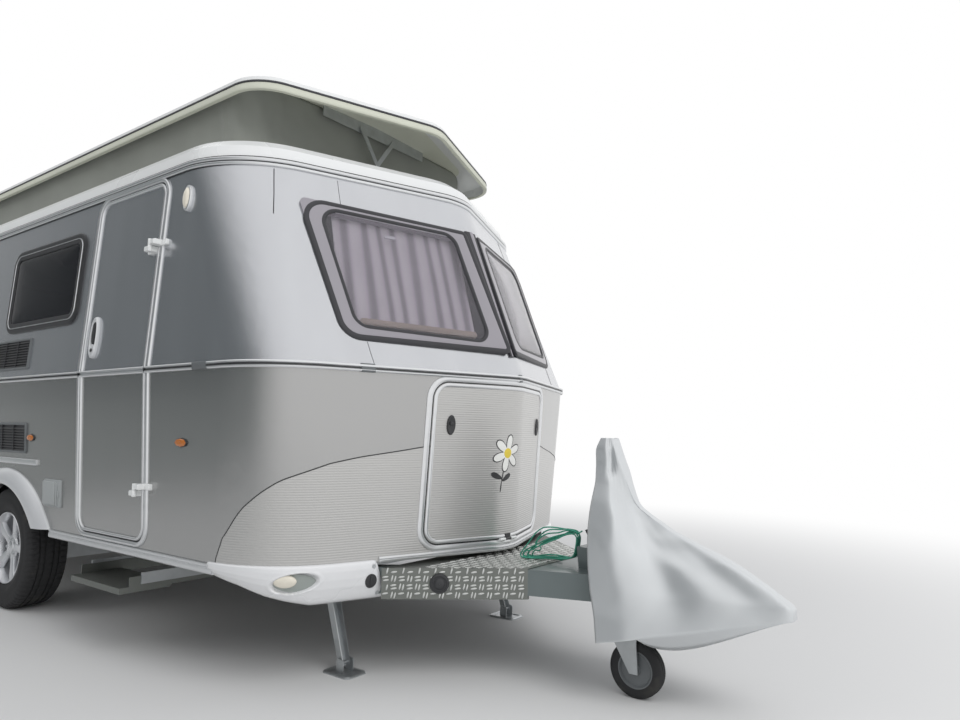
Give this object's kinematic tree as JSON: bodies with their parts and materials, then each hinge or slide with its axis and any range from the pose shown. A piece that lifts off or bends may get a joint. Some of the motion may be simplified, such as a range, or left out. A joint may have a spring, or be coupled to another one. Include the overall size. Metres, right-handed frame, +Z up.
{
  "type": "travel caravan",
  "caption": "Single-axle travel caravan with a lifting roof, side door, front locker, corner steadies, jockey wheel and ball coupling.",
  "frame": {"origin": "on the ground, below the middle of the whole caravan's box", "axes": "+X forward along the drawbar, +Y to the caravan's left side, +Z up"},
  "size_m": [5.9948, 2.1378, 2.54],
  "materials": {
    "body_paint": "metallic silver paint",
    "white_moulding": "gloss gel coat",
    "grey_moulding": "painted silver gel coat",
    "window_frame": "satin black",
    "window_pane": "tinted acrylic",
    "rail_metal": "anodised",
    "floor_board": "coated plywood",
    "black_plastic": "moulded",
    "zinc_steel": "galvanised",
    "grey_steel": "powder coat",
    "alloy": "silver lacquer",
    "tyre_rubber": "black",
    "canvas_cloth": "coated weave",
    "cover_cloth": "coated weave, silver grey",
    "curtain_cloth": "light weave",
    "vent_plastic": "moulded",
    "amber_lens": "clear moulded",
    "rope_cord": "braided, dark green",
    "red_lens": "clear moulded"
  },
  "bodies": {
    "caravan": {"front_lower_wall": "body_paint", "rear_lower_wall": "body_paint", "front_upper_wall": "body_paint", "rear_upper_wall": "body_paint", "right_wall": "body_paint", "left_wall": "body_paint", "window_frames": "window_frame", "window_panes": "window_pane", "roof": "white_moulding", "floor": "floor_board", "waist_rail": "rail_metal", "gutter_rail": "rail_metal", "body_hinges": "rail_metal", "locker_box": "floor_board", "wheel_boxes": "black_plastic", "arch_flares": "grey_moulding", "sill_rails": "rail_metal", "bumpers": "grey_moulding", "chassis": "zinc_steel", "drawbar": "grey_steel", "tray": "rail_metal", "coupling": "grey_steel", "handbrake": "black_plastic", "axle": "zinc_steel", "canvas": "canvas_cloth", "deck_rails": "zinc_steel", "jockey_clamp": "zinc_steel", "hitch_cover": "cover_cloth", "side_hatches": "vent_plastic", "reflectors": "amber_lens", "awning_lamp": "white_moulding", "tail_lamps": "red_lens", "curtains": "curtain_cloth", "rope_hank": "rope_cord"},
    "door": {"door": "body_paint", "door_fittings": "rail_metal", "door_handle": "rail_metal"},
    "locker_flap": {"locker_flap": "body_paint", "locker_fittings": "black_plastic"},
    "wheel_right": {"tyre_right": "tyre_rubber", "wheel_right": "alloy"},
    "wheel_left": {"tyre_left": "tyre_rubber", "wheel_left": "alloy"},
    "lid": {"lid": "white_moulding", "lid_rails": "zinc_steel"},
    "scissor_front_a": {"scissor_front_a": "zinc_steel"},
    "scissor_front_b": {"scissor_front_b": "zinc_steel"},
    "scissor_rear_a": {"scissor_rear_a": "zinc_steel"},
    "scissor_rear_b": {"scissor_rear_b": "zinc_steel"},
    "steady_front_right": {"steady_front_right": "zinc_steel"},
    "steady_front_left": {"steady_front_left": "zinc_steel"},
    "steady_rear_right": {"steady_rear_right": "zinc_steel"},
    "steady_rear_left": {"steady_rear_left": "zinc_steel"},
    "jockey_tube": {"jockey_tube": "zinc_steel"},
    "jockey_fork": {"jockey_fork": "zinc_steel"},
    "jockey_wheel": {"jockey_wheel": "tyre_rubber"},
    "step": {"step": "black_plastic"}
  },
  "joints": [
    {"name": "wheel_right_spin", "type": "hinge", "parent": "caravan", "child": "wheel_right", "pos_m": [-0.5795, -0.92, 0.305], "axis": [0, 1, 0], "continuous": true},
    {"name": "wheel_left_spin", "type": "hinge", "parent": "caravan", "child": "wheel_left", "pos_m": [-0.5795, 0.92, 0.305], "axis": [0, 1, 0], "continuous": true},
    {"name": "door_swing", "type": "hinge", "parent": "caravan", "child": "door", "pos_m": [0.7755, -1.06, 1.2], "axis": [0, 0, 1], "range_deg": [0, 150]},
    {"name": "locker_flap_tip", "type": "hinge", "parent": "caravan", "child": "locker_flap", "pos_m": [1.868, 0, 0.491], "axis": [0, 1, 0], "range_deg": [0, 38]},
    {"name": "roof_lift", "type": "slide", "parent": "caravan", "child": "lid", "axis": [0, 0, 1], "range_m": [-0.25, 0], "deforming": ["canvas"]},
    {"name": "scissor_front_a_fold", "type": "hinge", "parent": "caravan", "child": "scissor_front_a", "pos_m": [1.0055, -0.117, 2.15], "axis": [1, 0, 0], "range_deg": [-43.33, 0]},
    {"name": "scissor_front_b_fold", "type": "hinge", "parent": "scissor_front_a", "child": "scissor_front_b", "pos_m": [1.0055, 0, 2.314], "axis": [1, 0, 0], "range_deg": [0, 86.67]},
    {"name": "scissor_rear_a_fold", "type": "hinge", "parent": "caravan", "child": "scissor_rear_a", "pos_m": [-2.0745, -0.117, 2.15], "axis": [1, 0, 0], "range_deg": [-43.33, 0]},
    {"name": "scissor_rear_b_fold", "type": "hinge", "parent": "scissor_rear_a", "child": "scissor_rear_b", "pos_m": [-2.0745, 0, 2.314], "axis": [1, 0, 0], "range_deg": [0, 86.67]},
    {"name": "steady_front_right_wind", "type": "hinge", "parent": "caravan", "child": "steady_front_right", "pos_m": [1.3655, -0.553, 0.385], "axis": [0, -1, 0], "range_deg": [0, 50]},
    {"name": "steady_front_left_wind", "type": "hinge", "parent": "caravan", "child": "steady_front_left", "pos_m": [1.3655, 0.553, 0.385], "axis": [0, -1, 0], "range_deg": [0, 50]},
    {"name": "steady_rear_right_wind", "type": "hinge", "parent": "caravan", "child": "steady_rear_right", "pos_m": [-2.4345, -0.553, 0.385], "axis": [0, 1, 0], "range_deg": [0, 50]},
    {"name": "steady_rear_left_wind", "type": "hinge", "parent": "caravan", "child": "steady_rear_left", "pos_m": [-2.4345, 0.553, 0.385], "axis": [0, 1, 0], "range_deg": [0, 50]},
    {"name": "jockey_lift", "type": "slide", "parent": "caravan", "child": "jockey_tube", "axis": [0, 0, 1], "range_m": [0, 0.1]},
    {"name": "jockey_swivel", "type": "hinge", "parent": "jockey_tube", "child": "jockey_fork", "pos_m": [2.4255, -0.064, 0.222], "axis": [0, 0, 1], "continuous": true},
    {"name": "jockey_wheel_spin", "type": "hinge", "parent": "jockey_fork", "child": "jockey_wheel", "pos_m": [2.4855, -0.064, 0.1], "axis": [0, 1, 0], "continuous": true},
    {"name": "step_slide", "type": "slide", "parent": "caravan", "child": "step", "axis": [0, -1, 0], "range_m": [-0.2, 0]}
  ],
  "couplings": [
    {"joint": "scissor_front_a_fold", "follows": "roof_lift", "rad_per_m": 3.0252},
    {"joint": "scissor_front_b_fold", "follows": "roof_lift", "rad_per_m": -6.0504},
    {"joint": "scissor_rear_a_fold", "follows": "roof_lift", "rad_per_m": 3.0252},
    {"joint": "scissor_rear_b_fold", "follows": "roof_lift", "rad_per_m": -6.0504}
  ]
}
